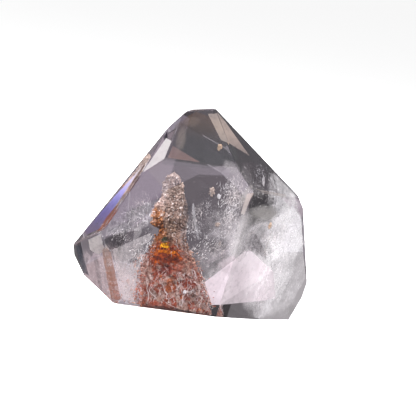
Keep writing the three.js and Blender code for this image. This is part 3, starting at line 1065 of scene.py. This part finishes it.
def mist(name, middle, first_axis, second_axis):
    """A flat oval. The attribute that its finish reads is 0 at its middle and 1 at its rim."""
    bpy.ops.mesh.primitive_circle_add(vertices=MIST_CORNERS, radius=1, fill_type="TRIFAN")
    piece = just_added(name)
    vertices = piece.data.vertices
    set_values(piece.data, "rim", [vertex.co.length for vertex in vertices])
    for vertex in vertices:
        along, across = vertex.co.x, vertex.co.y
        vertex.co = (Vector(middle) + Vector(first_axis) * along + Vector(second_axis) * across) * MM
    return piece


# ---- Stage ----

# The studio's soft lights: the way each lies from the stone, and its colour and strength
SOFT_LIGHTS = [
    ((0.84, 0.53, 0.1), (0.25, 0.24, 0.26)),
    ((0.08, -0.88, -0.47), (0.49, 0.42, 0.46)),
    ((0.84, -0.52, 0.16), (0.21, 0.15, 0.14)),
    ((-0.87, 0.33, 0.36), (0.56, 0.51, 0.52)),
    ((-0.15, 0.05, 0.99), (0.8, 0.74, 0.79)),
    ((0.72, 0.34, 0.6), (0.39, 0.33, 0.33)),
    ((-0.99, -0.01, -0.15), (0.88, 0.87, 0.9)),
    ((-0.54, -0.8, 0.27), (0.38, 0.32, 0.37)),
    ((0.43, 0.46, -0.78), (0.08, 0.08, 0.09)),
    ((0.87, -0.33, -0.36), (0.34, 0.27, 0.29)),
]
LIGHT_SPREAD = 8          # a higher number makes each light smaller
DIM = (0.02, 0.02, 0.02)  # what the clear stone shows where there is no soft light
SKY = (1, 1, 1)
FLOOR_SIZE = 20


def light_studio():
    """A white sky for the floor, the minerals and the view, and soft lights for the clear stone."""
    world = bpy.data.worlds.new("studio")
    world.use_nodes = True
    bpy.context.scene.world = world
    shader = Shader(world.node_tree)
    way = shader.node("TexCoord").outputs["Generated"]
    glow = DIM
    for direction, colour in SOFT_LIGHTS:
        near = shader.vector("DOT_PRODUCT", way, Vector(direction).normalized())[1]
        strength = ((Number(shader, near) - 1) * LIGHT_SPREAD).exp()
        lit = shader.node("VectorMath", {"operation": "SCALE"}, {0: colour, "Scale": strength})
        glow = shader.vector("ADD", glow, lit.outputs[0])[0]
    path = shader.node("LightPath").outputs
    inside = Number(shader, path["Is Transmission Ray"]).up_to(path["Is Glossy Ray"])
    sky = shader.node("Background", {}, {"Color": shader.mix(inside, SKY, glow), "Strength": 1})
    shader.node("OutputWorld", {}, {"Surface": sky.outputs[0]})


LAMPS = {
    # name: (place in metres, size, watts)
    "key_lamp": ((-0.35, -0.55, 0.45), 0.5, 14),
    "fill_lamp": ((0.55, -0.3, 0.35), 0.5, 7),
    "back_lamp": ((0.05, 0.45, 0.5), 0.5, 7),
}


def hide_from_glass(piece):
    """Keeps a piece of the stage out of what the stone mirrors and lets through."""
    piece.visible_glossy = False
    piece.visible_transmission = False


def add_lamps():
    """Broad lamps that reach the floor and the garden. Polished facets don't mirror them."""
    for name, (place, size, watts) in LAMPS.items():
        data = bpy.data.lights.new(name, "AREA")
        data.size = size
        data.energy = watts
        lamp = new_object(name, data)
        way = Vector(place).to_track_quat("Z", "Y").to_matrix().to_4x4()
        lamp.matrix_world = Matrix.Translation(place) @ way
        hide_from_glass(lamp)


def add_floor():
    bpy.ops.mesh.primitive_plane_add(size=FLOOR_SIZE)
    floor = bpy.context.active_object
    floor.name = "floor"
    floor.data.materials.append(pale_floor())
    hide_from_glass(floor)


# ---- Make it ----

def set_light_paths():
    """Room for light to cross many facets and veils, and none of the glass's own bright spots."""
    cycles = bpy.context.scene.cycles
    cycles.max_bounces = 24
    cycles.transmission_bounces = 24
    cycles.glossy_bounces = 12
    cycles.transparent_max_bounces = 48
    cycles.caustics_refractive = False
    cycles.caustics_reflective = False
    bpy.context.scene.view_settings.view_transform = "Standard"


add_camera()
set_light_paths()
light_studio()
add_lamps()
add_floor()

stone, facets = clear_stone()
dress(stone, clear_quartz(), "clear_quartz", "quartz")

minerals = garden_minerals()
mound = garden_mound()
add_to_garden(mound, minerals, "garden")
for seed, name in enumerate(GRAINS):
    add_to_garden(garden_grains(name, mound, facets, seed), minerals)
for seed, name in enumerate(LOOSE, FIRST_LOOSE_SEED):
    loose = loose_grains(name, facets, seed)
    loose.visible_shadow = False
    add_to_garden(loose, minerals)
add_to_garden(garden_threads(mound, facets), pale_felt())

finishes = {
    "pale_needles": pale_needles(),
    "beige": plain_finish("beige", (0.4, 0.32, 0.28)),
    "amber": plain_finish("amber", (0.52, 0.38, 0.28)),
}
set_in_quartz(pale_slivers(facets), finishes["pale_needles"])
for name, (colour, seed, drifts) in FLAKES.items():
    set_in_quartz(flakes(name, drifts, facets, seed), plain_finish(name, colour))
for seed, (name, (place, length, width, finish)) in enumerate(CRUMBS.items()):
    add_to_garden(crumb(name, place, length, width, seed), finishes[finish])

white = veil_white()
for name, (middle, turn, lean) in VEILS.items():
    set_in_quartz(veil(name, middle, turn, lean, facets), white)
for name, (corners, colours, cover, broken) in FILMS.items():
    set_in_quartz(film(name, corners), film_finish(name, corners, colours, cover, broken))
for name, (middle, first_axis, second_axis, colour, cover, broken) in MISTS.items():
    set_in_quartz(mist(name, middle, first_axis, second_axis), mist_finish(name, colour, cover, broken))
